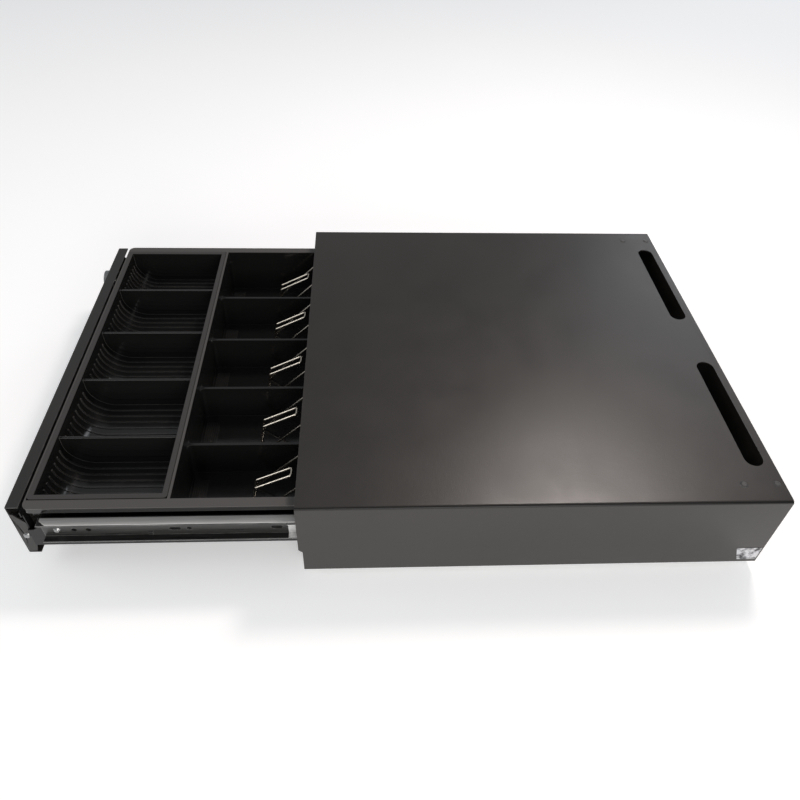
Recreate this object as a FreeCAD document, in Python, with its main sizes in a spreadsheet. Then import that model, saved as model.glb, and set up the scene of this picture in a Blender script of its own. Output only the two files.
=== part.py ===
import FreeCAD, Part
import Sketcher
import math
import os

# Cash drawer, standing open.  Millimetres.  X runs across, -Y is the front (the way the
# drawer opens), Z is up and z = 0 is the counter under the rubber feet.
# y = 0 is the front edge of the cabinet, and the drawer is drawn fully out.

V = FreeCAD.Vector
doc = FreeCAD.newDocument("cash_drawer")
sheet = doc.addObject("Spreadsheet::Sheet", "dims")

DIMENSIONS = [
    ("cabinet_width", 410), ("cabinet_depth", 415), ("cabinet_top", 100), ("foot_height", 10),
    ("skin", 1.2), ("bend", 3), ("lip_drop", 5), ("middle_y", 84),
    ("slot_long", 133), ("slot_wide", 17), ("slot_x", 100), ("slot_y", 399),
    ("panel_half", 188.5), ("panel_low", 18.7), ("panel_high", 84.5), ("panel_front", -238),
    ("panel_return", 11),
    ("pan_half", 190.8), ("pan_front", -227), ("pan_rear", 112), ("pan_low", 27),
    ("pan_sheet", 1), ("pan_bevel", 6.5), ("flange_out", 198.2), ("flange_z", 73),
    ("flange_front", -212), ("pan_front_top", 80),
    ("slide_mid", 59.5), ("slide_space", 203.8), ("slide_skin", 1.2), ("rail_half", 7.4),
    ("rail_lip", 194.4), ("runner_half", 12), ("runner_lip", 198), ("runner_hole_z", 57),
    ("hole_radius", 2.2), ("long_hole_half", 5),
    ("till_half", 190), ("till_top", 84.5), ("till_low", 28.1), ("till_front", -224.5),
    ("till_rear", 100), ("well_half", 181.2), ("till_wall", 1.6), ("till_floor", 30.2),
    ("skirt_low", 78.6), ("bill_front", -105.5), ("bill_rear", 96), ("bill_pitch", 73.4),
    ("divider", 2.4), ("divider_top", 70), ("rod_y", 3), ("rod_z", 79.5), ("rod_radius", 1.5),
    ("tray_half", 180.7), ("tray_front", -222.8), ("tray_rear", -108.2), ("tray_low", 44),
    ("tray_rim", 4.5), ("cup_floor", 46.4), ("cup_top", 81), ("scoop", 26),
    ("inner_divider_x", 35.5), ("outer_divider_x", 110),
    ("wire", 1.1), ("clip_half", 18), ("clip_y", -45), ("clip_z", 31.4),
    ("lock_x", -150), ("lock_z", 66), ("lock_radius", 9.5), ("lock_reach", 9),
]
for row, (alias, value) in enumerate(DIMENSIONS, start=1):
    sheet.set(f"A{row}", alias)
    sheet.set(f"B{row}", str(value))
    sheet.setAlias(f"B{row}", alias)
doc.recompute()
size = {alias: float(value) for alias, value in DIMENSIONS}
exports = []


def bound(text):
    """An expression in dimension names, with each name pointed at its cell in the sheet."""
    words = str(text).replace("(", " ( ").replace(")", " ) ").split()
    return " ".join("dims." + word if word in size else word for word in words)


def worth(text):
    """The value of an expression in dimension names."""
    return sheet.evalExpression(bound(text)) if not isinstance(text, (int, float)) else text


def keep(thing, label):
    """Marks a finished sub-part, which is written to its own file under this label."""
    thing.Label = label
    exports.append(thing)
    return thing


# ---- small kit: primitives bound to the sheet -------------------------------------------

def place(thing, x, y, z):
    for letter, text in zip("xyz", (x, y, z)):
        thing.setExpression(f"Placement.Base.{letter}", bound(text))


def box(x0, x1, y0, y1, z0, z1):
    block = doc.addObject("Part::Box", "block")
    for side, low, high in (("Length", x0, x1), ("Width", y0, y1), ("Height", z0, z1)):
        block.setExpression(side, bound(f"( {high} ) - ( {low} )"))
    place(block, x0, y0, z0)
    return block


TURNS = {"x": (V(0, 1, 0), 90), "y": (V(1, 0, 0), -90), "z": (V(0, 0, 1), 0)}


def cylinder(axis, x, y, z, radius, length):
    """A cylinder from x, y, z along +axis."""
    rod = doc.addObject("Part::Cylinder", "rod")
    rod.Placement = FreeCAD.Placement(V(), FreeCAD.Rotation(*TURNS[axis]))
    rod.setExpression("Radius", bound(radius))
    rod.setExpression("Height", bound(length))
    place(rod, x, y, z)
    return rod


def cone(axis, x, y, z, radius, end_radius, length):
    taper = doc.addObject("Part::Cone", "taper")
    taper.Placement = FreeCAD.Placement(V(), FreeCAD.Rotation(*TURNS[axis]))
    taper.setExpression("Radius1", bound(radius))
    taper.setExpression("Radius2", bound(end_radius))
    taper.setExpression("Height", bound(length))
    place(taper, x, y, z)
    return taper


def fuse(*things):
    if len(things) == 1:
        return things[0]
    whole = doc.addObject("Part::MultiFuse", "joined")
    whole.Shapes = list(things)
    return whole


def cut(base, *tools):
    left = doc.addObject("Part::Cut", "cut")
    left.Base, left.Tool = base, fuse(*tools)
    return left


def group(*things):
    """Identical pieces that share one node as separate solids."""
    several = doc.addObject("Part::Compound", "group")
    several.Links = list(things)
    return several


def rounded(base, radius, chosen):
    """The base with the chosen edges rounded; chosen(edge) says which."""
    doc.recompute()
    smooth = doc.addObject("Part::Fillet", "rounded")
    smooth.Base = base
    edges = [n for n, edge in enumerate(base.Shape.Edges, start=1) if chosen(edge)]
    smooth.Edges = [(n, worth(radius), worth(radius)) for n in edges]
    return smooth


def along(axis):
    """Picks the straight edges that run along an axis."""
    way = {"x": V(1, 0, 0), "y": V(0, 1, 0), "z": V(0, 0, 1)}[axis]

    def chosen(edge):
        ends = [vertex.Point for vertex in edge.Vertexes]
        return len(ends) == 2 and (ends[1] - ends[0]).cross(way).Length < 1e-6

    return chosen


# ---- small kit: folded and pressed sheet as PartDesign bodies ----------------------------

def new_body(name):
    return doc.addObject("PartDesign::Body", name)


def sketch(body, plane, outlines, offset):
    """A sketch on one of the body's own planes.  An outline is a list of corners, or
    ("circle", x, y, radius), or ("slot", x, y, half_length, radius) lying along x."""
    drawing = body.newObject("Sketcher::SketchObject", "outline")
    origin = next(f for f in body.Origin.OriginFeatures if f.Role == plane + "_Plane")
    drawing.AttachmentSupport = [(origin, "")]
    drawing.MapMode = "FlatFace"
    drawing.setExpression("AttachmentOffset.Base.z", bound(offset))

    def pin(line, end, x, y):
        for kind, text in (("DistanceX", x), ("DistanceY", y)):
            amount = float(worth(text))
            n = drawing.addConstraint(Sketcher.Constraint(kind, -1, 1, line, end, amount))
            drawing.setExpression(f"Constraints[{n}]", bound(text))

    for outline in outlines:
        if outline[0] == "circle":
            centre = V(worth(outline[1]), worth(outline[2]), 0)
            n = drawing.addGeometry(Part.Circle(centre, V(0, 0, 1), worth(outline[3])))
            pin(n, 3, outline[1], outline[2])
            r = drawing.addConstraint(Sketcher.Constraint("Radius", n, worth(outline[3])))
            drawing.setExpression(f"Constraints[{r}]", bound(outline[3]))
            continue
        if outline[0] == "slot":
            x, y, half, radius = (worth(text) for text in outline[1:])
            ends = [V(x - half + radius, y, 0), V(x + half - radius, y, 0)]
            up = V(0, radius, 0)
            left = Part.ArcOfCircle(Part.Circle(ends[0], V(0, 0, 1), radius), math.pi / 2, 1.5 * math.pi)
            right = Part.ArcOfCircle(Part.Circle(ends[1], V(0, 0, 1), radius), -math.pi / 2, math.pi / 2)
            outline_parts = drawing.addGeometry(
                [left, Part.LineSegment(ends[0] - up, ends[1] - up), right,
                 Part.LineSegment(ends[1] + up, ends[0] + up)]
            )
            for n in outline_parts:
                drawing.addConstraint(Sketcher.Constraint("Block", n))
            continue
        corners = [V(worth(x), worth(y), 0) for x, y in outline]
        first = drawing.GeometryCount
        for start, end in zip(corners, corners[1:] + corners[:1]):
            drawing.addGeometry(Part.LineSegment(start, end))
        count = len(corners)
        for n in range(count):
            joint = Sketcher.Constraint("Coincident", first + n, 2, first + (n + 1) % count, 1)
            drawing.addConstraint(joint)
        for n, (x, y) in enumerate(outline):
            pin(first + n, 1, x, y)
    return drawing


def add(body, plane, outlines, low, high):
    """Pads outlines on a plane from low to high along the plane's row axis."""
    offset = f"0 - ( {high} )" if plane == "XZ" else low
    pad = body.newObject("PartDesign::Pad", "pad")
    pad.Profile = sketch(body, plane, outlines, offset)
    pad.setExpression("Length", bound(f"( {high} ) - ( {low} )"))
    doc.recompute()
    return pad


def remove(body, plane, outlines, low, high):
    """Pockets outlines on a plane from low to high along the plane's row axis."""
    before = body.Shape.Volume
    offset = f"0 - ( {low} )" if plane == "XZ" else high
    pocket = body.newObject("PartDesign::Pocket", "pocket")
    pocket.Profile = sketch(body, plane, outlines, offset)
    pocket.setExpression("Length", bound(f"( {high} ) - ( {low} )"))
    doc.recompute()
    if body.Shape.Volume > before - 0.01:
        raise RuntimeError(f"a pocket in {body.Name} cuts nothing")
    return pocket


def soften(body, radius, chosen):
    """Rounds the chosen edges of the body."""
    base = body.Tip
    fillet = body.newObject("PartDesign::Fillet", "fillet")
    edges = [f"Edge{n}" for n, e in enumerate(base.Shape.Edges, start=1) if chosen(e)]
    fillet.Base = (base, edges)
    fillet.setExpression("Radius", bound(radius))
    doc.recompute()
    return fillet


def rectangle(x0, x1, y0, y1):
    return [(x0, y0), (x1, y0), (x1, y1), (x0, y1)]


def fold_edges(lines, axis):
    """Picks the edges along an axis that pass through any of the given points."""
    straight = along(axis)

    def chosen(edge):
        if not straight(edge):
            return False
        middle = edge.CenterOfMass
        flat = {"x": (middle.y, middle.z), "y": (middle.x, middle.z), "z": (middle.x, middle.y)}[axis]
        return any(abs(flat[0] - a) < 0.02 and abs(flat[1] - b) < 0.02 for a, b in lines)

    return chosen


half = size["cabinet_width"] / 2
skin = size["skin"]
top = size["cabinet_top"]

# ---- cabinet ------------------------------------------------------------------------------

shell = new_body("shell")
add(shell, "XZ", [[
    ("0 - cabinet_width / 2", "foot_height"), ("0 - cabinet_width / 2", "cabinet_top"),
    ("cabinet_width / 2", "cabinet_top"), ("cabinet_width / 2", "foot_height"),
    ("cabinet_width / 2 - skin", "foot_height"), ("cabinet_width / 2 - skin", "cabinet_top - skin"),
    ("skin - cabinet_width / 2", "cabinet_top - skin"), ("skin - cabinet_width / 2", "foot_height"),
]], "0", "cabinet_depth")
# the top's front edge is turned down to stiffen the mouth
add(shell, "XZ", [rectangle("skin - cabinet_width / 2", "cabinet_width / 2 - skin",
                            "cabinet_top - lip_drop", "cabinet_top - skin / 2")], "0", "skin")
outer_folds = [(side * half, top) for side in (-1, 1)]
inner_folds = [(side * (half - skin), top - skin) for side in (-1, 1)]
soften(shell, "bend", fold_edges(outer_folds, "y"))
soften(shell, "bend - skin", fold_edges(inner_folds, "y"))
remove(shell, "XY", [("slot", f"{side} * slot_x", "slot_y", "slot_long / 2", "slot_wide / 2")
                     for side in (-1, 1)], "cabinet_top - 2 * skin", "cabinet_top + 1")
RIVETS = [(side * 186, y) for side in (-1, 1) for y in (379, 408)]
remove(shell, "XY", [("circle", x, y, 2) for x, y in RIVETS], "cabinet_top - 2 * skin", "cabinet_top + 1")
# the side walls step back at the foot of the mouth
remove(shell, "YZ", [[(-1, 0), (3.5, 0), (3.5, 37), (0, 40.5), (-1, 40.5)]],
       "0 - cabinet_width / 2 - 1", "cabinet_width / 2 + 1")
keep(shell, "cabinet_shell")

# base pan: floor with turned-up sides and rear, inside the shell
base = new_body("base")
gap = "skin + 0.05"
add(base, "XZ", [[
    (f"{gap} - cabinet_width / 2", "foot_height"), (f"{gap} - cabinet_width / 2", "foot_height + 14"),
    (f"{gap} - cabinet_width / 2 + skin", "foot_height + 14"),
    (f"{gap} - cabinet_width / 2 + skin", "foot_height + skin"),
    (f"cabinet_width / 2 - {gap.replace('+', '-')} - skin", "foot_height + skin"),
    (f"cabinet_width / 2 - {gap.replace('+', '-')} - skin", "foot_height + 14"),
    (f"cabinet_width / 2 - {gap.replace('+', '-')}", "foot_height + 14"),
    (f"cabinet_width / 2 - {gap.replace('+', '-')}", "foot_height"),
]], "4", "cabinet_depth - skin - 0.1")
add(base, "XZ", [rectangle("skin * 2 + 0.1 - cabinet_width / 2", "cabinet_width / 2 - skin * 2 - 0.1",
                           "foot_height + skin / 2", "foot_height + 7")], "4", "4 + skin")
FEET = [(side * 170, y) for side in (-1, 1) for y in (35, 380)]
remove(base, "XY", [("circle", x, y, 2.2) for x, y in FEET], "foot_height - 1", "foot_height + 3")
VENTS = [("slot", x, 150 + 14 * n, 22, 2.5) for x in (-60, 60) for n in range(5)]
remove(base, "XY", VENTS, "foot_height - 1", "foot_height + 3")
keep(base, "cabinet_base")

# rear panel with turned-in top flange that the top rivets hold
rear = new_body("rear")
add(rear, "XZ", [rectangle("skin + 0.1 - cabinet_width / 2", "cabinet_width / 2 - skin - 0.1",
                           "foot_height + 0.2", "cabinet_top - skin - 2")],
    "cabinet_depth - skin", "cabinet_depth")
add(rear, "XY", [rectangle(-192, 192, "cabinet_depth - skin / 2 - 38", "cabinet_depth")],
    "cabinet_top - skin * 2 - 0.1", "cabinet_top - skin - 0.1")
add(rear, "XZ", [rectangle(-192, 192, "cabinet_top - skin - 4", "cabinet_top - skin - 0.1")],
    "cabinet_depth - skin", "cabinet_depth")
remove(rear, "XY", [("slot", f"{side} * slot_x", "slot_y", "slot_long / 2 + 2", "slot_wide / 2 + 2")
                    for side in (-1, 1)], "cabinet_top - skin * 4", "cabinet_top - skin - 0.05")
remove(rear, "XY", [("circle", x, y, 2) for x, y in RIVETS],
       "cabinet_top - skin * 4", "cabinet_top - skin - 0.05")
JACK_X, JACK_Z = 120, 40
remove(rear, "XZ", [rectangle(JACK_X - 7, JACK_X + 7, JACK_Z - 8, JACK_Z + 8)],
       "cabinet_depth - skin * 2", "cabinet_depth + 1")
keep(rear, "rear_panel")


def rivet(x, y):
    """A blind rivet: a low domed head on the top and its shank through both sheets."""
    return fuse(cylinder("z", x, y, top - 4, 1.95, 4), cone("z", x, y, top, 3.4, 2.1, 0.9))


keep(group(*[rivet(x, y) for x, y in RIVETS]), "top_rivets")

feet, foot_screws = [], []
for x, y in FEET:
    pad = fuse(cone("z", x, y, 0, 9, 10, 1), cylinder("z", x, y, 1, 10, "foot_height - 1"))
    bore = cylinder("z", x, y, -1, 5, 5)
    feet.append(cut(pad, bore, cylinder("z", x, y, 3, 2.1, 10)))
    head = cylinder("z", x, y, 1.6, 3.8, 2.2)
    slot = box(x - 0.5, x + 0.5, y - 4, y + 4, 1, 2.4)
    screw = fuse(cut(head, slot), cylinder("z", x, y, 3.8, 1.9, 8.5))
    nut = cylinder("z", x, y, "foot_height + skin", 3.6, 2)
    foot_screws.append(fuse(screw, nut))
keep(group(*feet), "rubber_feet")
keep(group(*foot_screws), "foot_screws")

# blank silver sticker at the foot of the right side, near the rear, cut skew at its front end
sticker = new_body("sticker")
add(sticker, "YZ", [[(390, 32), (413.5, 32), (413.5, 14), (396, 14)]],
    "cabinet_width / 2", "cabinet_width / 2 + 0.25")
soften(sticker, 1.2, along("x"))
keep(sticker, "blank_label")

# ---- ball slides: a rail on the cabinet's wall runs inside a deeper channel on the drawer --------


def channel(side, web_in, web_out, lip, half_height, y0, y1, name, holes):
    """One member of a slide: a channel with its web from web_in to web_out and its two
    lips reaching to lip, all measured from the drawer's middle plane."""
    member = new_body(name)
    s, z, t = side, size["slide_mid"], size["slide_skin"]
    back, front = sorted((web_in, web_out), key=lambda x: -abs(x - lip))
    add(member, "XZ", [[
        (s * back, z - half_height), (s * back, z + half_height), (s * lip, z + half_height),
        (s * lip, z + half_height - t), (s * front, z + half_height - t),
        (s * front, z - half_height + t), (s * lip, z - half_height + t),
        (s * lip, z - half_height),
    ]], y0, y1)
    remove(member, "YZ", holes, *sorted((s * (web_in - 1), s * (web_out + 1))))
    return member


def holes_at(z, rounds, longs):
    """Round and long fixing holes in a row along a slide member."""
    return ([("circle", y, z, "hole_radius") for y in rounds]
            + [("slot", y, z, "long_hole_half", "hole_radius") for y in longs])


RAIL_Y = (0.6, 345)
RUNNER_Y = (-214, 108)
RUNNER_SCREWS = (-202, 28, 92)
CAGE_Y, CAGE_LONG, CAGE_IN, CAGE_OUT, CAGE_SKIN = -8, 114, 193.5, 198.35, 0.6
BALL_X, FIRST_BALL, BALL_PITCH, BALLS = 196.2, 10.5, 14, 8
rail_holes = holes_at("slide_mid", (40, 150, 260), (62, 172, 320))
runner_holes = holes_at("runner_hole_z", (*RUNNER_SCREWS, -188, -176, -92, 60), (-104, -18))
for side, word in ((-1, "left"), (1, "right")):
    wall, web = size["slide_space"], size["pan_half"]
    rail = channel(side, wall - 1.2, wall, size["rail_lip"], size["rail_half"], *RAIL_Y,
                   f"rail_{word}", rail_holes)
    keep(rail, f"outer_slide_{word}")
    runner = channel(side, web, web + 1.2, size["runner_lip"], size["runner_half"], *RUNNER_Y,
                     f"runner_{word}", runner_holes)
    # a pressed stop on the runner's web
    add(runner, "YZ", [rectangle(-127, -123, 49.5, 53.5)],
        *sorted((side * (web + 1), side * (web + 2.4))))
    keep(runner, f"inner_slide_{word}")
    # ball cage: two strips between the members, with a row of balls in each, joined at the front
    gap_low, gap_high = size["rail_half"], size["runner_half"] - size["slide_skin"]
    gap_middle, radius = (gap_high + gap_low) / 2, (gap_high - gap_low) / 2 - 0.25
    spots = [CAGE_Y + FIRST_BALL + BALL_PITCH * n for n in range(BALLS)]
    cage_low, cage_high = sorted((side * CAGE_IN, side * CAGE_OUT))
    plate_low, plate_high = sorted((side * CAGE_IN, side * (CAGE_IN + CAGE_SKIN)))
    cage_top, cage_foot = (size["slide_mid"] + way * (gap_middle + CAGE_SKIN / 2) for way in (1, -1))
    cage = [box(plate_low, plate_high, CAGE_Y, CAGE_Y + 9, cage_foot, cage_top)]
    balls = []
    for z in (size["slide_mid"] - gap_middle, size["slide_mid"] + gap_middle):
        strip = box(cage_low, cage_high, CAGE_Y, CAGE_Y + CAGE_LONG,
                    z - CAGE_SKIN / 2, z + CAGE_SKIN / 2)
        cage.append(cut(strip, *[cylinder("z", side * BALL_X, y, z - 1, radius + 0.06, 2)
                                 for y in spots]))
        for y in spots:
            ball = doc.addObject("Part::Sphere", "ball")
            ball.Radius = radius
            place(ball, side * BALL_X, y, z)
            balls.append(ball)
    keep(fuse(*cage), f"ball_cage_{word}")
    keep(group(*balls), f"slide_balls_{word}")

# ---- drawer -----------------------------------------------------------------------------------

pan = new_body("pan")


def pan_section(s, edge):
    """Half of the pan's section; edge is the outline round the top of its side wall."""
    return [
        (0, "pan_low"), (f"{s} ( pan_half - pan_bevel )", "pan_low"),
        (f"{s} pan_half", "pan_low + pan_bevel"), *edge,
        (f"{s} ( pan_half - pan_sheet )", "flange_z"),
        (f"{s} ( pan_half - pan_sheet )", "pan_low + pan_bevel + 0.4"),
        (f"{s} ( pan_half - pan_bevel - 0.4 )", "pan_low + pan_sheet"), (0, "pan_low + pan_sheet"),
    ]


for s in ("1 *", "-1 *"):
    flange = [(f"{s} pan_half", "flange_z - pan_sheet"), (f"{s} flange_out", "flange_z - pan_sheet"),
              (f"{s} flange_out", "flange_z")]
    add(pan, "XZ", [pan_section(s, flange)], "flange_front", "pan_rear")
    add(pan, "XZ", [pan_section(s, [(f"{s} pan_half", "flange_z")])], "pan_front", "flange_front")
ends = [(f"{side} * ( pan_half - {inset} )", z) for side, inset, z in (
    (-1, "0.2", "pan_low + pan_bevel"), (-1, "pan_bevel", "pan_low + 0.2"),
    (1, "pan_bevel", "pan_low + 0.2"), (1, "0.2", "pan_low + pan_bevel"))]
for wall_top, y0, y1 in (("pan_front_top", "pan_front", "pan_front + pan_sheet"),
                         ("flange_z", "pan_rear - pan_sheet", "pan_rear")):
    add(pan, "XZ", [ends + [("pan_half - 0.2", wall_top), ("0 - pan_half + 0.2", wall_top)]], y0, y1)
# the flange's front ends are cut at a slant
for side in (-1, 1):
    remove(pan, "XY", [[(side * 199, -213), (side * 199, -205), (side * 193, -213)]],
           "flange_z - 2", "flange_z + 1")
# behind the panel's ends the side walls are cut down
for low, high in (("pan_half - 2.5", "pan_half + 1"), ("0 - pan_half - 1", "2.5 - pan_half")):
    remove(pan, "YZ", [[("pan_front - 1", 56), ("pan_front + 5", 56), ("pan_front + 13", 63),
                        ("pan_front + 13", 74), ("pan_front - 1", 74)]], low, high)
remove(pan, "XZ", [("circle", "lock_x", "lock_z", 10.2)], "pan_front - 1", "pan_front + 3")
keep(pan, "drawer_pan")

# front panel: a shallow steel tray, open to the rear, with returned edges
panel = new_body("panel")
add(panel, "XZ", [rectangle("0 - panel_half", "panel_half", "panel_low", "panel_high")],
    "panel_front", "panel_front + skin")
for low, high in (("panel_high - skin", "panel_high"), ("panel_low", "panel_low + skin")):
    add(panel, "XZ", [rectangle("0 - panel_half", "panel_half", low, high)],
        "panel_front", "panel_front + panel_return")
for side in (-1, 1):
    outer_x, inner_x = f"{side} * panel_half", f"{side} * ( panel_half - skin )"
    add(panel, "YZ", [[
        ("panel_front", "panel_low + 2"), ("panel_front + panel_return - 3", "panel_low + 2"),
        ("panel_front + panel_return", "panel_low + 14"),
        ("panel_front + panel_return", "panel_high - 22"),
        ("panel_front + 3", "panel_high - 10"), ("panel_front", "panel_high - 10"),
    ]], *((inner_x, outer_x) if side > 0 else (outer_x, inner_x)))
soften(panel, "0.8", lambda e: abs(e.CenterOfMass.y - size["panel_front"]) < 0.01)
remove(panel, "XZ", [("circle", "lock_x", "lock_z", "lock_radius + 0.1")],
       "panel_front - 1", "panel_front + 3")
remove(panel, "YZ", [("circle", "panel_front + 6.5", "panel_low + 26", 1.8)],
       "0 - panel_half - 1", "panel_half + 1")
keep(panel, "front_panel")

# bright corner brackets that tie the panel's ends to the pan
brackets, bracket_screws = [], []
for side in (-1, 1):
    x = side * 187.2
    low, high = sorted((x, x - side * 1.5))
    leg = box(low, high, -236.5, -227, 36, 58)
    foot_low, foot_high = sorted((x, x - side * 14))
    brackets.append(cut(fuse(leg, box(foot_low, foot_high, -228.5, -227, 36, 58)),
                        cylinder("x", low - 1, -231.5, "panel_low + 26", 1.8, 4)))
    head_x = side * 188.5 if side > 0 else side * 188.5 - 1.3
    stem_x = side * 188.5 - (5 if side > 0 else 0)
    head = cone("x", head_x, -231.5, "panel_low + 26", *((3.2, 2.2) if side > 0 else (2.2, 3.2)), 1.3)
    bracket_screws.append(fuse(head, cylinder("x", stem_x, -231.5, "panel_low + 26", 1.75, 5)))
keep(group(*brackets), "panel_brackets")
keep(group(*bracket_screws), "panel_screws")

# slide screws that hold the inner members to the pan
slide_screws = []
for side in (-1, 1):
    for y in RUNNER_SCREWS:
        stem = cylinder("x", side * 190.8 - (2 if side > 0 else 1.9), y, "runner_hole_z", 1.7, 3.9)
        start = side * 192 if side > 0 else side * 192 - 1.2
        dome = cone("x", start, y, "runner_hole_z", *((3, 2) if side > 0 else (2, 3)), 1.2)
        slide_screws.append(fuse(stem, dome))
remove(pan, "YZ", [("circle", y, "runner_hole_z", 1.75) for y in RUNNER_SCREWS],
       "0 - pan_half - 1", "pan_half + 1")
keep(group(*slide_screws), "slide_screws")

# ---- lock ---------------------------------------------------------------------------------------

housing = fuse(
    cylinder("y", "lock_x", "panel_front - lock_reach", "lock_z", "lock_radius + 1.5", "lock_reach"),
    cylinder("y", "lock_x", "panel_front - 1", "lock_z", "lock_radius", 11.8),
)
housing = cut(housing, cylinder("y", "lock_x", "panel_front - lock_reach - 1", "lock_z", 6.05, 30))
keep(rounded(housing, 0.8, lambda e: abs(e.CenterOfMass.y - size["panel_front"]
                                         + size["lock_reach"]) < 0.01 and e.Length > 50),
     "lock_housing")
core = cylinder("y", "lock_x", "panel_front - lock_reach - 0.6", "lock_z", 6, "lock_reach + 11.4")
keyway = box("lock_x - 0.8", "lock_x + 0.8", "panel_front - lock_reach - 2",
             "panel_front - lock_reach + 8", "lock_z - 4", "lock_z + 4")
keep(cut(core, keyway), "lock_core")


# the locking cam behind the core turns inside the hole in the pan's front wall
cam_finger = box("lock_x - 2.5", "lock_x + 2.5", "pan_front - 0.2", "pan_front + 1.6",
                 "lock_z", "lock_z + 9.4")
keep(fuse(cylinder("y", "lock_x", "pan_front - 0.2", "lock_z", 5.5, 1.8), cam_finger), "lock_cam")
ring = cylinder("y", "lock_x", "panel_front + skin", "lock_z", 13, 3)
keep(cut(ring, cylinder("y", "lock_x", "panel_front", "lock_z", "lock_radius + 0.1", 6)), "lock_nut")

# ---- till ---------------------------------------------------------------------------------------

BILLS = range(-2, 3)
rim_block = rounded(box("0 - till_half", "till_half", "till_front", "till_rear", "skirt_low",
                        "till_top"), 6, along("z"))
rim_block = cut(rim_block, box("2 - till_half", "till_half - 2", "till_front + 1.4",
                               "till_rear - 1.4", "skirt_low - 1", "till_top - 2"))
hull = rounded(box("0 - well_half - till_wall", "well_half + till_wall", "till_front", "till_rear",
                   "till_low", "till_top - 0.5"), 2.5, along("y"))
hollows = [
    box("0 - well_half", "well_half", "tray_front - 0.3", "tray_rear + 0.3", "tray_low", "till_top + 1"),
    box(-174, 174, "tray_front - 0.3", "tray_rear + 0.3", "till_floor", "tray_low + 1"),
]
for n in BILLS:
    low = "0 - well_half" if n == -2 else f"( {n} - 0.5 ) * bill_pitch + divider / 2"
    high = "well_half" if n == 2 else f"( {n} + 0.5 ) * bill_pitch - divider / 2"
    hollows.append(rounded(box(low, high, "bill_front", "bill_rear", "till_floor", "till_top + 1"),
                           4, along("z")))
ears = [box(f"{n} * bill_pitch - 2", f"{n} * bill_pitch + 2", "rod_y - 5", "rod_y + 7",
            "divider_top - 1", "till_top") for n in (-1.5, -0.5, 0.5, 1.5)]
lowered = box("0 - well_half", "well_half", "bill_front", "bill_rear", "divider_top", "till_top + 1")
hollows.append(cut(lowered, *ears))
hollows.append(cylinder("x", -182, "rod_y", "rod_z", "rod_radius + 0.05", 364))
grips = [box(f"{n} * bill_pitch - 26", f"{n} * bill_pitch + 26", -103 + 2 * k, -102.2 + 2 * k,
             "till_floor - 0.5", "till_floor + 0.5") for n in BILLS for k in range(7)]
keep(fuse(cut(fuse(rim_block, hull), *hollows), *grips), "till")
keep(cylinder("x", -181.5, "rod_y", "rod_z", "rod_radius", 363), "clip_rod")

# coin tray: five cups whose floors scoop up at the front, with fine ribs to lift coins
CUP_Y0, CUP_Y1 = "tray_front + tray_rim", "tray_rear - tray_rim"


def scooped(x0, x1, shrink):
    """The hollow of a cup: a box whose front lower edge is a large round."""
    front, floor = f"( {CUP_Y0} + {shrink} )", f"( cup_floor + {shrink} )"
    return fuse(
        box(x0, x1, f"{CUP_Y0} + scoop", CUP_Y1, floor, "till_top + 1"),
        box(x0, x1, front, CUP_Y1, "cup_floor + scoop", "till_top + 1"),
        cylinder("x", x0, f"{CUP_Y0} + scoop", "cup_floor + scoop", f"scoop - {shrink}",
                 f"( {x1} ) - ( {x0} )"),
    )


tray_block = rounded(box("0 - tray_half", "tray_half", "tray_front", "tray_rear", "tray_low",
                         "till_top + 0.6"), 3, along("z"))
walls = ["tray_rim - tray_half", "0 - outer_divider_x", "0 - inner_divider_x", "inner_divider_x",
         "outer_divider_x", "tray_half - tray_rim"]
cups = []
for low, high in zip(walls, walls[1:]):
    x0 = low if low == walls[0] else f"{low} + divider / 2"
    x1 = high if high == walls[-1] else f"{high} - divider / 2"
    width = worth(x1) - worth(x0)
    strips = [box(f"{x0} + {width * (k + 1) / 9 - 0.7}", f"{x0} + {width * (k + 1) / 9 + 0.7}",
                  CUP_Y0, f"{CUP_Y1} - 12", "cup_floor - 1", "cup_floor + scoop") for k in range(8)]
    cups.append(fuse(cut(scooped(x0, x1, 0), *strips), scooped(x0, x1, 0.8)))
crest = box("tray_rim - tray_half", "tray_half - tray_rim", CUP_Y0, CUP_Y1, "cup_top", "till_top + 2")
keep(cut(tray_block, crest, *cups), "coin_tray")

# ---- wire bill clips ------------------------------------------------------------------------------


def bent_path(points, radius):
    """Straight runs joined by tangent arcs."""
    edges, start = [], points[0]
    for before, corner, after in zip(points, points[1:], points[2:]):
        a, b = (before - corner).normalize(), (after - corner).normalize()
        turn = math.pi - a.getAngle(b)
        back = radius * math.tan(turn / 2)
        middle = corner + (a + b).normalize() * (radius / math.cos(turn / 2) - radius)
        edges.append(Part.makeLine(start, corner + a * back))
        edges.append(Part.Arc(corner + a * back, middle, corner + b * back).toShape())
        start = corner + b * back
    edges.append(Part.makeLine(start, points[-1]))
    return Part.Wire(edges)


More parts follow.
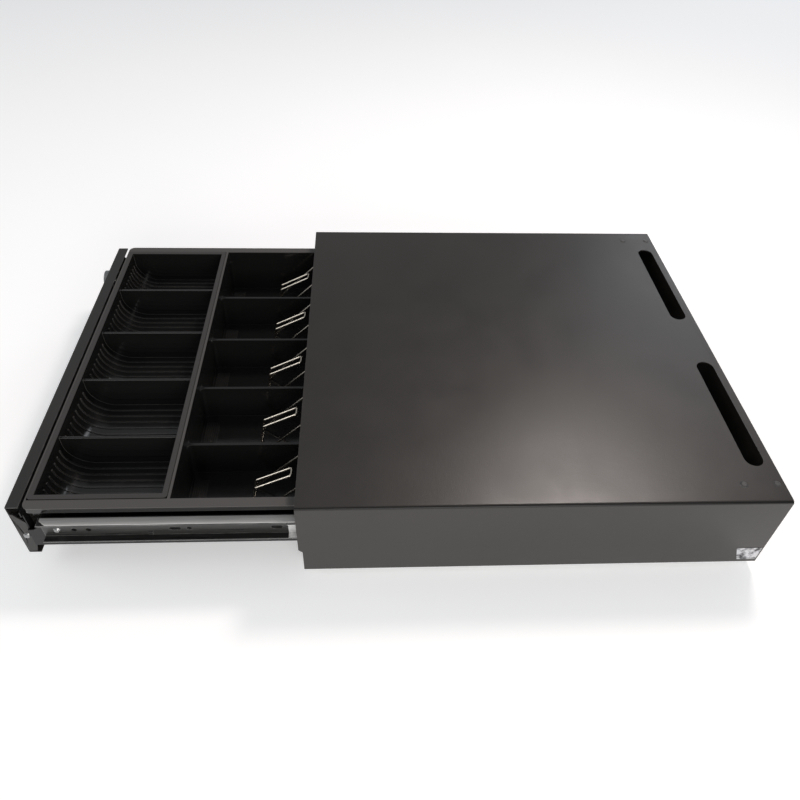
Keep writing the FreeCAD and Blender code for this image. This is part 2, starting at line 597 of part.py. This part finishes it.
def bill_clip(x):
    """A bail of spring wire: two arms with eyes on the rod, a foot that presses on the notes,
    and a narrow finger loop that stands up from the middle of the foot."""
    y0, z0, h = size["clip_y"], size["clip_z"], size["clip_half"]
    pivot = V(0, size["rod_y"], size["rod_z"])
    down = (V(0, y0, z0) - pivot).normalize()
    left = [pivot + down * 2.4 + V(-h, 0, 0), V(-h, y0, z0), V(-4.4, y0, z0),
            V(-4.4, -41, 57), V(-4.4, -7.5, 74.6)]
    right = [V(-p.x, p.y, p.z) for p in reversed(left)]
    path = bent_path(left + right, 2.6)
    tangent = path.Edges[0].tangentAt(path.Edges[0].FirstParameter)
    ring = Part.Wire(Part.Circle(left[0], tangent, size["wire"]).toShape())
    solid = path.makePipeShell([ring], True, False)
    eyes = []
    for side in (-1, 1):
        at = pivot + V(side * h - 1.2, 0, 0)
        eye = Part.makeCylinder(3.5, 2.4, at, V(1, 0, 0))
        eyes.append(eye.cut(Part.makeCylinder(size["rod_radius"] + 0.07, 4, at - V(1, 0, 0), V(1, 0, 0))))
    shape = solid.fuse(eyes)
    shape.translate(V(x, 0, 0))
    clip = doc.addObject("Part::Feature", "clip")
    clip.Shape = shape
    return clip


for n in BILLS:
    keep(bill_clip(n * size["bill_pitch"]), f"bill_clip_{n + 3}")

# ---- latch, solenoid, eject spring and wiring socket at the rear ------------------------------------

HOME = 350  # where the pan's rear face comes to rest when the drawer is shut
LATCH_X, LATCH_Y = 0, HOME + 42

deck = fuse(box(-20, 50, HOME + 2, HOME + 52, 35, 37),
            box(-20, -18.5, HOME + 2, HOME + 52, "foot_height + skin", 36),
            box(48.5, 50, HOME + 2, HOME + 52, "foot_height + skin", 36))
keep(cut(deck, cylinder("z", LATCH_X, LATCH_Y, 30, 2.5, 10)), "latch_bracket")
keep(fuse(cylinder("z", LATCH_X, LATCH_Y, 34, 2.45, 18), cylinder("z", LATCH_X, LATCH_Y, 37, 5, 9.6),
          cylinder("z", LATCH_X, LATCH_Y, 49.5, 4, 1.5)), "latch_pivot")
latch = new_body("latch")
add(latch, "XY", [[(3, HOME + 2.5), (3, HOME + 8.3), (-5, HOME + 8.3), (-5, HOME + 20),
                   (7, HOME + 36), (34, HOME + 38), (34, HOME + 46), (6, HOME + 48),
                   (-6, HOME + 48), (-14, HOME + 36), (-14, HOME + 2.5)]], 47, 49)
remove(latch, "XY", [("circle", LATCH_X, LATCH_Y, 2.5)], 46, 50)
soften(latch, 1, lambda e: along("z")(e) and e.CenterOfMass.y < HOME + 47)
keep(latch, "latch_lever")

sol_x, sol_z = 30, 49
yoke = cut(box(16, 44, HOME + 2, HOME + 30, 37, 61), box(14, 46, HOME + 4, HOME + 28, 39, 59),
           cylinder("y", sol_x, HOME, sol_z, 5.2, 40))
keep(yoke, "solenoid_frame")
coil = cylinder("y", sol_x, HOME + 4.1, sol_z, 9.8, 23.8)
keep(cut(coil, cylinder("y", sol_x, HOME, sol_z, 5.2, 40)), "solenoid_coil")
keep(fuse(cylinder("y", sol_x, HOME + 9, sol_z, 5.1, 21.5),
          cylinder("y", sol_x, HOME + 30.5, sol_z, 2.5, 5),
          cylinder("y", sol_x, HOME + 35, sol_z, 4.5, 1.3)), "solenoid_plunger")

strike = fuse(box(-9, 9, "pan_rear", "pan_rear + 16", 43.5, 45),
              box(-9, 9, "pan_rear", "pan_rear + 1.5", 43.5, 62),
              cylinder("z", 0, "pan_rear + 12", 44.5, 3, 8.5))
keep(strike, "latch_strike")

push_x, push_z = -80, 46
guide = fuse(box(push_x - 9, push_x + 9, HOME + 34, HOME + 36, "foot_height + skin", 56),
             box(push_x - 9, push_x + 9, HOME + 24, HOME + 36, "foot_height + skin", 13))
keep(cut(guide, cylinder("y", push_x, HOME + 30, push_z, 3.05, 10)), "eject_guide")
keep(fuse(cylinder("y", push_x, HOME + 0.4, push_z, 7, 3), cylinder("y", push_x, HOME + 3, push_z, 3, 42)),
     "eject_pusher")


def coil_spring(x, y0, y1, z, radius, wire, turns):
    """A helical spring along Y, its wire's section square to the helix."""
    helix = Part.makeHelix((y1 - y0) / turns, y1 - y0, radius)
    start = V(0, 2 * math.pi * radius, (y1 - y0) / turns)
    section = Part.Wire(Part.Circle(V(radius, 0, 0), start, wire).toShape())
    spring = doc.addObject("Part::Feature", "spring")
    spring.Shape = Part.Wire(helix.Edges).makePipeShell([section], True, True)
    spring.Placement = FreeCAD.Placement(V(x, y0, z), FreeCAD.Rotation(V(1, 0, 0), -90))
    return spring


keep(coil_spring(push_x, HOME + 4.6, HOME + 32.8, push_z, 5, 0.85, 7), "eject_spring")

switch = cut(box(-130, -110, HOME + 6, HOME + 12, 38, 48),
             *[cylinder("y", x, HOME + 5, 43, 1.2, 9) for x in (-125, -115)])
keep(switch, "drawer_switch")
keep(fuse(box(-136, -104, HOME + 12, HOME + 13.2, "foot_height + skin", 50),
          box(-136, -104, HOME + 12, HOME + 24, "foot_height + skin", 12.8)), "switch_bracket")
blade = new_body("blade")
add(blade, "XY", [[(-129.5, HOME + 5.2), (-127, HOME + 5.2), (-111, HOME + 2.2), (-109, HOME + 1),
                   (-107, HOME + 2.2), (-107.4, HOME + 2.6), (-109, HOME + 1.6), (-111, HOME + 2.7),
                   (-127, HOME + 5.7), (-129.5, HOME + 5.7)]], 41, 45)
keep(blade, "switch_lever")

socket = cut(box(JACK_X - 6.9, JACK_X + 6.9, "cabinet_depth - 19", "cabinet_depth + 0.6",
                 JACK_Z - 7.9, JACK_Z + 7.9),
             box(JACK_X - 4.9, JACK_X + 4.9, "cabinet_depth - 14", "cabinet_depth + 2",
                 JACK_Z - 3.5, JACK_Z + 3.5),
             box(JACK_X - 2, JACK_X + 2, "cabinet_depth - 14", "cabinet_depth + 2",
                 JACK_Z - 6, JACK_Z - 3))
pins = [box(JACK_X - 3.3 + 1.27 * n, JACK_X - 2.9 + 1.27 * n, "cabinet_depth - 15",
            "cabinet_depth - 4", JACK_Z + 2.6, JACK_Z + 3.1) for n in range(6)]
keep(socket, "drawer_socket")
keep(group(*pins), "socket_contacts")

# ---- check and write --------------------------------------------------------------------------------

doc.recompute()
faults = [f"{o.Name} {o.State}" for o in doc.Objects if "Invalid" in o.State or "Error" in o.State]
for thing in exports:
    shape = thing.Shape
    if shape.isNull() or not shape.isValid() or not shape.Solids:
        faults.append(f"{thing.Label} has a bad shape")
if faults:
    raise RuntimeError("; ".join(faults))
os.makedirs("parts", exist_ok=True)
# the files' origin is the middle of the open drawer's footprint, on the counter
shift = V(0, -size["middle_y"], 0)
for thing in exports:
    thing.Shape.translated(shift).exportStep(f"parts/{thing.Label}.step")
print(len(exports), "nodes written")
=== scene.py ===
import bpy, bmesh, math
from mathutils import Matrix, Vector


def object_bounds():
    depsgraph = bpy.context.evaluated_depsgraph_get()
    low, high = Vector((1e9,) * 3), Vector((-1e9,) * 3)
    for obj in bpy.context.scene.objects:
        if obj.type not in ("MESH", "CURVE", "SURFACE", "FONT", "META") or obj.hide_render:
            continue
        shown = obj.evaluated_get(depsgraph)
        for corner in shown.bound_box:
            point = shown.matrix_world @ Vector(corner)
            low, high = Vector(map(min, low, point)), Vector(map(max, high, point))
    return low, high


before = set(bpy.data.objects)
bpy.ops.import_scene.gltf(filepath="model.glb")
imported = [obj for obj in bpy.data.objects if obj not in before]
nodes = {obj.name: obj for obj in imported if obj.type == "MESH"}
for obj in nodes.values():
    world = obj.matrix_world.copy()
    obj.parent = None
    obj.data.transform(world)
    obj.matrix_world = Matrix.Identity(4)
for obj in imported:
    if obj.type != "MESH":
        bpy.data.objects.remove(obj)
cad_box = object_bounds()


# ---- materials: every colour is scene-linear, every length is in metres ----

GRAIN = 0.0009              # the grain of powder paint
EDGE_TURN = (0.004, 0.05)   # how far a rounded normal turns before it counts as an edge, from and to
# The fold colour below is a painted dark reflection along the cabinet's bend, and the fold shine is the
# lower specular that goes with it
FOLD_PAINTED_REFLECTION, FOLD_SHINE = (0.004, 0.0036, 0.0034), 0.22
# The two web greys are painted light on the slide web, paler than the slide's own black
WEB_LIT_DARK, WEB_LIT_PALE = (0.022, 0.022, 0.021), (0.045, 0.045, 0.043)
RUBBED_STEEL = (0.4, 0.4, 0.39)


class Look:
    """A small builder for one node material."""

    def __init__(self, name):
        self.mat = bpy.data.materials.new(name)
        self.mat.use_nodes = True
        self.tree = self.mat.node_tree
        self.bsdf = self.tree.nodes["Principled BSDF"]
        self.coords = self.node("ShaderNodeTexCoord").outputs["Object"]

    def node(self, kind, inputs=None, **settings):
        made = self.tree.nodes.new(kind)
        for key, value in settings.items():
            setattr(made, key, value)
        for key, value in (inputs or {}).items():
            if isinstance(value, bpy.types.NodeSocket):
                self.tree.links.new(value, made.inputs[key])
            else:
                made.inputs[key].default_value = value
        return made

    def math(self, operation, a, b=0.0):
        return self.node("ShaderNodeMath", {0: a, 1: b}, operation=operation).outputs[0]

    def noise(self, size, detail=3.0, roughness=0.55, stretch=(1, 1, 1)):
        """Noise with features about `size` metres across, longer along an axis whose factor is small."""
        mapped = self.node("ShaderNodeMapping", {"Vector": self.coords, "Scale": stretch}).outputs[0]
        return self.node("ShaderNodeTexNoise", {
            "Vector": mapped, "Scale": 1 / size, "Detail": detail, "Roughness": roughness}).outputs[0]

    def spread(self, value, low, high, start=0.3, end=0.7):
        return self.node("ShaderNodeMapRange", {
            "Value": value, "From Min": start, "From Max": end, "To Min": low, "To Max": high}).outputs[0]

    def blend(self, factor, a, b):
        made = self.node("ShaderNodeMix", {0: factor}, data_type="RGBA")
        for index, value in ((6, a), (7, b)):
            if isinstance(value, bpy.types.NodeSocket):
                self.tree.links.new(value, made.inputs[index])
            else:
                made.inputs[index].default_value = (*value, 1)
        return made.outputs[2]

    def axis(self, which):
        return self.node("ShaderNodeSeparateXYZ", {0: self.coords}).outputs[which]

    def step(self, value, edge, soft):
        """0 below the edge and 1 above it, over a soft width."""
        return self.spread(value, 0, 1, edge - soft, edge + soft)

    def edges(self, radius):
        """1 on a convex or concave edge, 0 on a flat face."""
        round_normal = self.node("ShaderNodeBevel", {"Radius": radius}, samples=4).outputs[0]
        flat_normal = self.node("ShaderNodeNewGeometry").outputs["Normal"]
        dot = self.node("ShaderNodeVectorMath", {0: round_normal, 1: flat_normal},
                        operation="DOT_PRODUCT")
        away = self.math("SUBTRACT", 1.0, dot.outputs["Value"])
        return self.spread(away, 0, 1, *EDGE_TURN)

    def set(self, **inputs):
        for key, value in inputs.items():
            socket = self.bsdf.inputs[key.replace("_", " ")]
            if isinstance(value, bpy.types.NodeSocket):
                self.tree.links.new(value, socket)
            elif isinstance(value, tuple):
                socket.default_value = (*value, 1)
            else:
                socket.default_value = value

    def bump(self, *layers):
        """Each layer is (height, depth in metres)."""
        normal = None
        for height, depth in layers:
            made = self.node("ShaderNodeBump", {"Height": height, "Distance": depth, "Strength": 1.0})
            if normal is not None:
                self.tree.links.new(normal, made.inputs["Normal"])
            normal = made.outputs[0]
        self.tree.links.new(normal, self.bsdf.inputs["Normal"])


def powder_coat(name, colour, rough, worn=(0.16, 0.16, 0.16), fold=None):
    """Fine-textured satin powder paint: tight grain, faint cloudiness, rubbed edges. Beyond |x|
    and above z in `fold` it is darker, which stands in for a dark reflection along the bend."""
    look = Look(name)
    grain = look.noise(GRAIN, 2.0)
    cloud = look.noise(0.11, 3.0)
    tint = tuple(c * 1.22 for c in colour)
    base = look.blend(look.spread(cloud, 0, 1), colour, tint)
    base = look.blend(look.spread(grain, 0, 0.35, 0.45, 0.7), base, tuple(c * 1.7 for c in colour))
    patchy = look.math("MULTIPLY", look.edges(0.0006), look.spread(look.noise(0.012), 0, 0.55, 0.5, 0.72))
    paint = look.blend(patchy, base, worn)
    shine = 0.5
    if fold:
        # painted reflection: along the bend the paint turns darker and less shiny
        on_fold = look.math("MULTIPLY", look.step(look.math("ABSOLUTE", look.axis(0)), fold[0], 0.0004),
                            look.step(look.axis(2), fold[1], 0.0004))
        paint = look.blend(on_fold, paint, FOLD_PAINTED_REFLECTION)
        shine = look.spread(on_fold, shine, FOLD_SHINE, 0, 1)
    look.set(Base_Color=paint, Specular_IOR_Level=shine,
             Roughness=look.spread(look.noise(0.05, 4.0), rough - 0.03, rough + 0.04))
    look.bump((grain, 0.00006), (look.noise(0.004, 2.0), 0.00004))
    return look.mat


def two_tone_coat(name, colour, rough, light, low, high, side):
    """Powder paint whose outer flange, beyond |x| = `side` and between the heights `low` and `high`,
    is left as bare satin metal."""
    look = Look(name)
    grain = look.noise(GRAIN, 2.0)
    brushed = look.noise(0.0006, 3.0, stretch=(1, 0.02, 1))
    out = look.step(look.math("ABSOLUTE", look.axis(0)), side, 0.0002)
    up = look.math("MULTIPLY", look.step(look.axis(2), low, 0.0002),
                   look.math("SUBTRACT", 1.0, look.step(look.axis(2), high, 0.0002)))
    bare = look.math("MULTIPLY", out, up)
    paint = look.blend(look.spread(look.noise(0.09), 0, 1), colour, tuple(c * 1.3 for c in colour))
    metal = look.blend(look.spread(brushed, 0, 1), light, tuple(c * 0.72 for c in light))
    look.set(Base_Color=look.blend(bare, paint, metal), Metallic=look.math("MULTIPLY", bare, 0.4),
             Roughness=look.spread(bare, rough, 0.38, 0, 1), Specular_IOR_Level=0.5)
    look.bump((grain, 0.00005))
    return look.mat


def moulded(name, colour, rough, grain_depth=0.00002, satin_above=None, rim=(0.012, 0.012, 0.012),
            edge=(0.045, 0.044, 0.042)):
    """Injection-moulded plastic: glossy with slight flow waves, and edges painted paler as a painted
    highlight.
    Above `satin_above` it has a satin textured rim."""
    look = Look(name)
    fine = look.noise(0.0007, 2.0)
    wave = look.noise(0.035, 2.0)
    dust = look.noise(0.0035, 5.0, 0.7)
    base = look.blend(look.spread(dust, 0, 0.5, 0.55, 0.8), colour, tuple(c * 1.9 for c in colour))
    # painted highlight: edges are blended towards the pale edge colour
    base = look.blend(look.math("MULTIPLY", look.edges(0.0008), 0.7), base, edge)
    gloss = look.spread(look.noise(0.02, 4.0), rough - 0.03, rough + 0.05)
    if satin_above:
        up = look.step(look.axis(2), satin_above, 0.0004)
        base = look.blend(up, base, rim)
        gloss = look.node("ShaderNodeMix", {0: up, 2: gloss, 3: 0.48}, data_type="FLOAT").outputs[0]
    look.set(Base_Color=base, Roughness=gloss, Specular_IOR_Level=0.6)
    look.bump((wave, 0.00025), (fine, grain_depth))
    return look.mat


def metal(name, colour, rough, along=(1, 1, 1), size=0.0012, tarnish=0.75):
    """Bare or plated metal with drawn or brushed streaks along an axis, and faint tarnish."""
    look = Look(name)
    streak = look.noise(size, 3.0, stretch=along)
    cloud = look.noise(0.02, 4.0)
    base = look.blend(look.spread(cloud, 0, 1), colour, tuple(c * tarnish for c in colour))
    base = look.blend(look.spread(streak, 0, 0.4), base, tuple(c * 0.6 for c in colour))
    look.set(Base_Color=base, Metallic=1.0, Roughness=look.spread(streak, rough - 0.05, rough + 0.1))
    look.bump((streak, 0.00002))
    return look.mat


def oiled_black(name, web):
    """Black-coated slide steel with bright rubbed edges. Nearer than |x| = `web` it is painted greyer, a
    painted light on the web, and beyond it darker, a painted dark reflection.
    """
    look = Look(name)
    streak = look.noise(0.0016, 4.0, stretch=(1, 0.03, 1))
    smear = look.noise(0.01, 4.0, stretch=(1, 0.25, 1))
    rubbed = look.math("MULTIPLY", look.edges(0.0009), look.spread(smear, 0, 1, 0.4, 0.62))
    # painted light and reflection: the web is painted grey as if lit, the rest near black as a painted
    # dark reflection
    lit_web = look.math("SUBTRACT", 1.0, look.step(look.math("ABSOLUTE", look.axis(0)), web, 0.0003))
    base = look.blend(look.spread(streak, 0, 1), (0.006, 0.006, 0.006), (0.018, 0.018, 0.017))
    grey = look.blend(look.spread(streak, 0, 1), WEB_LIT_DARK, WEB_LIT_PALE)
    base = look.blend(lit_web, base, grey)
    look.set(Base_Color=look.blend(rubbed, base, RUBBED_STEEL),
             Metallic=look.math("MULTIPLY", rubbed, 0.85),
             Roughness=look.spread(streak, 0.24, 0.4), Specular_IOR_Level=0.6)
    look.bump((streak, 0.00004))
    return look.mat


def rubber(name):
    """Dull black rubber with a dusty bloom."""
    look = Look(name)
    grain = look.noise(0.0012, 4.0)
    base = look.blend(look.spread(look.noise(0.006, 4.0), 0, 1),
                      (0.018, 0.018, 0.018), (0.045, 0.044, 0.042))
    look.set(Base_Color=base, Roughness=look.spread(grain, 0.75, 0.9), Specular_IOR_Level=0.3)
    look.bump((grain, 0.0001))
    return look.mat


def tape(name):
    """Yellow insulating tape wound round a coil."""
    look = Look(name)
    wrap = look.node("ShaderNodeTexWave", {
        "Vector": look.coords, "Scale": 55.0, "Distortion": 0.6, "Detail": 2.0},
        bands_direction="Y").outputs["Fac"]
    base = look.blend(look.spread(wrap, 0, 1, 0.1, 0.9), (0.42, 0.27, 0.04), (0.6, 0.42, 0.09))
    look.set(Base_Color=base, Roughness=look.spread(look.noise(0.002), 0.25, 0.4), Specular_IOR_Level=0.5)
    look.bump((wrap, 0.00012))
    return look.mat


def foil_label(name):
    """A plain silver sticker with creases that break its reflection."""
    look = Look(name)
    crease = look.node("ShaderNodeTexVoronoi", {
        "Vector": look.coords, "Scale": 160.0, "Randomness": 1.0}, feature="F1").outputs["Distance"]
    wrinkle = look.noise(0.006, 4.0)
    base = look.blend(look.spread(wrinkle, 0, 1, 0.4, 0.6), (0.06, 0.06, 0.065), (0.62, 0.62, 0.64))
    look.set(Base_Color=base, Metallic=0.9, Roughness=look.spread(wrinkle, 0.22, 0.4))
    look.bump((crease, 0.0004), (wrinkle, 0.0006))
    return look.mat


cabinet_black = powder_coat("cabinet_powder_coat", (0.021, 0.0183, 0.0162), 0.335,
                            fold=(0.2034, 0.0982))
drawer_black = powder_coat("drawer_powder_coat", (0.021, 0.0195, 0.0182), 0.42)
# The pan's paint is black, and set far darker than the drawer's black as painted shade for where it sits
# in shadow
pan_coat_painted_shade = two_tone_coat("pan_coat_and_flange", (0.0035, 0.0034, 0.0034), 0.5, (0.62, 0.62, 0.605),
                         0.0705, 0.0745, 0.1912)
till_plastic = moulded("till_plastic", (0.0095, 0.0093, 0.009), 0.13, satin_above=0.0838,
                       rim=(0.075, 0.07, 0.066))
# the tray's pale edge colour is a painted highlight on its edges
tray_plastic = moulded("tray_plastic", (0.0095, 0.0093, 0.009), 0.12, satin_above=0.0845,
                       rim=(0.042, 0.039, 0.037), edge=(0.13, 0.127, 0.122))
small_plastic = moulded("small_black_plastic", (0.016, 0.016, 0.016), 0.42, 0.00005)
slide_black = oiled_black("black_slide_steel", 0.1922)
ball_steel = metal("ball_steel", (0.72, 0.72, 0.72), 0.14, tarnish=0.9)
# The cage zinc is paler than the zinc plate to make up for the shade it sits in under the channel: painted
# light
cage_zinc_painted_light = metal("cage_zinc_painted_light", (0.85, 0.85, 0.84), 0.42, along=(1, 0.1, 1))
zinc = metal("zinc_plate", (0.56, 0.56, 0.54), 0.34, along=(0.3, 1, 1), size=0.002)
screw_steel = metal("screw_steel", (0.5, 0.5, 0.5), 0.26, size=0.0008)
rivet_paint = powder_coat("painted_rivet", (0.045, 0.044, 0.043), 0.4, worn=(0.3, 0.3, 0.3))
wire_nickel = metal("wire_nickel", (0.86, 0.78, 0.67), 0.2, size=0.003, tarnish=0.88)
rod_steel = metal("rod_steel", (0.2, 0.2, 0.2), 0.3, along=(0.1, 1, 1))
chrome = metal("lock_chrome", (0.42, 0.42, 0.42), 0.2, size=0.0009, tarnish=0.85)
gold = metal("contact_gold", (0.82, 0.6, 0.24), 0.22)
foot_rubber = rubber("foot_rubber")
coil_wrap = tape("coil_tape")
sticker = foil_label("blank_label")

finishes = {
    cabinet_black: ["cabinet_shell", "rear_panel"],
    drawer_black: ["front_panel", "panel_brackets"],
    pan_coat_painted_shade: ["drawer_pan"],
    till_plastic: ["till"],
    tray_plastic: ["coin_tray"],
    small_plastic: ["drawer_socket", "drawer_switch", "eject_guide", "latch_pivot"],
    slide_black: ["inner_slide_left", "inner_slide_right"],
    ball_steel: ["slide_balls_left", "slide_balls_right"],
    cage_zinc_painted_light: ["ball_cage_left", "ball_cage_right"],
    zinc: ["cabinet_base", "latch_bracket", "latch_lever", "latch_strike", "solenoid_frame",
           "switch_bracket", "lock_cam", "lock_nut", "outer_slide_left", "outer_slide_right"],
    screw_steel: ["panel_screws", "slide_screws", "foot_screws", "eject_pusher", "eject_spring",
                  "solenoid_plunger", "switch_lever"],
    rivet_paint: ["top_rivets"],
    wire_nickel: [f"bill_clip_{n}" for n in range(1, 6)],
    rod_steel: ["clip_rod"],
    chrome: ["lock_housing", "lock_core"],
    gold: ["socket_contacts"],
    foot_rubber: ["rubber_feet"],
    coil_wrap: ["solenoid_coil"],
    sticker: ["blank_label"],
}

# the width of the rounding on each large piece's sharp edges, and the angle that counts as sharp
WELD_GAP, ROUND_STEPS, SHARP = 0.000004, 2, math.radians(40)
ROUND_EDGE = {"cabinet_shell": 0.0004, "cabinet_base": 0.0003, "rear_panel": 0.0003, "front_panel": 0.0005,
              "drawer_pan": 0.0003, "till": 0.0005, "coin_tray": 0.0005, "panel_brackets": 0.0003}


def smooth(obj, edge_width):
    """Joins the CAD mesh's face patches for shading only, and rounds its sharp edges with modifiers."""
    mesh = obj.data
    if "custom_normal" in mesh.attributes:
        mesh.attributes.remove(mesh.attributes["custom_normal"])
    mesh.shade_smooth()
    weld = obj.modifiers.new("weld", "WELD")
    weld.merge_threshold = WELD_GAP
    rounding = obj.modifiers.new("edges", "BEVEL")
    rounding.width, rounding.segments = edge_width, ROUND_STEPS
    rounding.limit_method, rounding.angle_limit = "ANGLE", SHARP
    rounding.harden_normals = True
    rounding.miter_outer = "MITER_ARC"


for material, names in finishes.items():
    for name in names:
        obj = nodes[name]
        obj.data.materials.clear()
        obj.data.materials.append(material)
        if name in ROUND_EDGE:
            smooth(obj, ROUND_EDGE[name])


# ---- floor, light and camera ----

FLOOR_RADIUS, FLOOR_DROP = 14.0, 0.0002
FLOOR_COLOUR, FLOOR_GLOW = (0.93, 0.93, 0.93), 0.32
SKY_COLOUR, SKY_STRENGTH = (0.93, 0.96, 1.0, 1), 0.33

# name, place, point it faces, width and height, watts, colour
LIGHTS = [
    ("highlight", (-0.45, 0.52, 1.25), (0.2, 0.14, 0.1), (0.26, 0.26), 7.2, (1, 0.9, 0.85)),
    ("far_window", (-1.9, 1.5, 1.2), (0.0, 0.2, 0.1), (0.9, 0.9), 5, (0.9, 0.94, 1)),
    ("camera_side", (1.9, 0.35, 0.75), (0.2, 0.1, 0.05), (1.2, 0.8), 19, (1, 0.98, 0.95)),
    ("front_fill", (0.2, -2.0, 1.6), (0.0, -0.2, 0.05), (1.4, 1.0), 9, (1, 1, 1)),
]

# the camera's direction is a heading from the front, a height and a roll, in degrees
CAMERA_PLACE = (0.54114, -0.03023, 0.57537)
CAMERA_AZIMUTH, CAMERA_ELEVATION, CAMERA_ROLL = 86.100, 42.405, 2.442
CAMERA_LENS, CAMERA_SENSOR = 31.70, 36.0
CAMERA_SHIFT_X, CAMERA_SHIFT_Y = 0.0054, -0.0561
CAMERA_NEAR, CAMERA_FAR = 0.01, 60.0


def floor_material():
    """Matt, nearly even white with a faint glow, so that shadows on it stay soft."""
    look = Look("pale_floor")
    base = look.blend(look.spread(look.noise(0.4), 0, 1), FLOOR_COLOUR,
                      tuple(c * 0.985 for c in FLOOR_COLOUR))
    look.set(Base_Color=base, Roughness=0.85, Specular_IOR_Level=0.15, Emission_Color=(1, 1, 1),
             Emission_Strength=FLOOR_GLOW)
    return look.mat


def make_floor():
    bm = bmesh.new()
    bmesh.ops.create_circle(bm, cap_ends=True, radius=FLOOR_RADIUS, segments=96)
    mesh = bpy.data.meshes.new("floor")
    bm.to_mesh(mesh)
    bm.free()
    floor = bpy.data.objects.new("floor", mesh)
    floor.data.materials.append(floor_material())
    bpy.context.scene.collection.objects.link(floor)
    floor.location.z = cad_box[0].z - FLOOR_DROP


def area_light(name, where, aim, size, watts, colour):
    data = bpy.data.lights.new(name, "AREA")
    data.shape, data.size, data.size_y = "RECTANGLE", size[0], size[1]
    data.energy, data.color = watts, colour
    light = bpy.data.objects.new(name, data)
    light.location = where
    light.rotation_euler = (Vector(aim) - Vector(where)).to_track_quat("-Z", "Y").to_euler()
    bpy.context.scene.collection.objects.link(light)


make_floor()
for light_settings in LIGHTS:
    area_light(*light_settings)

world = bpy.data.worlds.new("studio")
bpy.context.scene.world = world
world.use_nodes = True
sky = world.node_tree.nodes["Background"]
sky.inputs["Color"].default_value = SKY_COLOUR
sky.inputs["Strength"].default_value = SKY_STRENGTH


def make_camera():
    """Looks down onto the open drawer from the cabinet's right side, nearly square to it."""
    azimuth, elevation, roll = map(math.radians, (CAMERA_AZIMUTH, CAMERA_ELEVATION, CAMERA_ROLL))
    back = Vector((math.sin(azimuth) * math.cos(elevation), -math.cos(azimuth) * math.cos(elevation),
                   math.sin(elevation)))
    right = Vector((0, 0, 1)).cross(back).normalized()
    up = back.cross(right)
    turned_right = right * math.cos(roll) + up * math.sin(roll)
    turned_up = up * math.cos(roll) - right * math.sin(roll)
    data = bpy.data.cameras.new("camera")
    data.lens, data.sensor_width = CAMERA_LENS, CAMERA_SENSOR
    data.shift_x, data.shift_y = CAMERA_SHIFT_X, CAMERA_SHIFT_Y
    data.clip_start, data.clip_end = CAMERA_NEAR, CAMERA_FAR
    camera = bpy.data.objects.new("camera", data)
    rotation = Matrix((turned_right, turned_up, back)).transposed().to_4x4()
    camera.matrix_world = Matrix.Translation(CAMERA_PLACE) @ rotation
    bpy.context.scene.collection.objects.link(camera)
    bpy.context.scene.camera = camera


make_camera()
bpy.context.scene.view_settings.view_transform = "Standard"
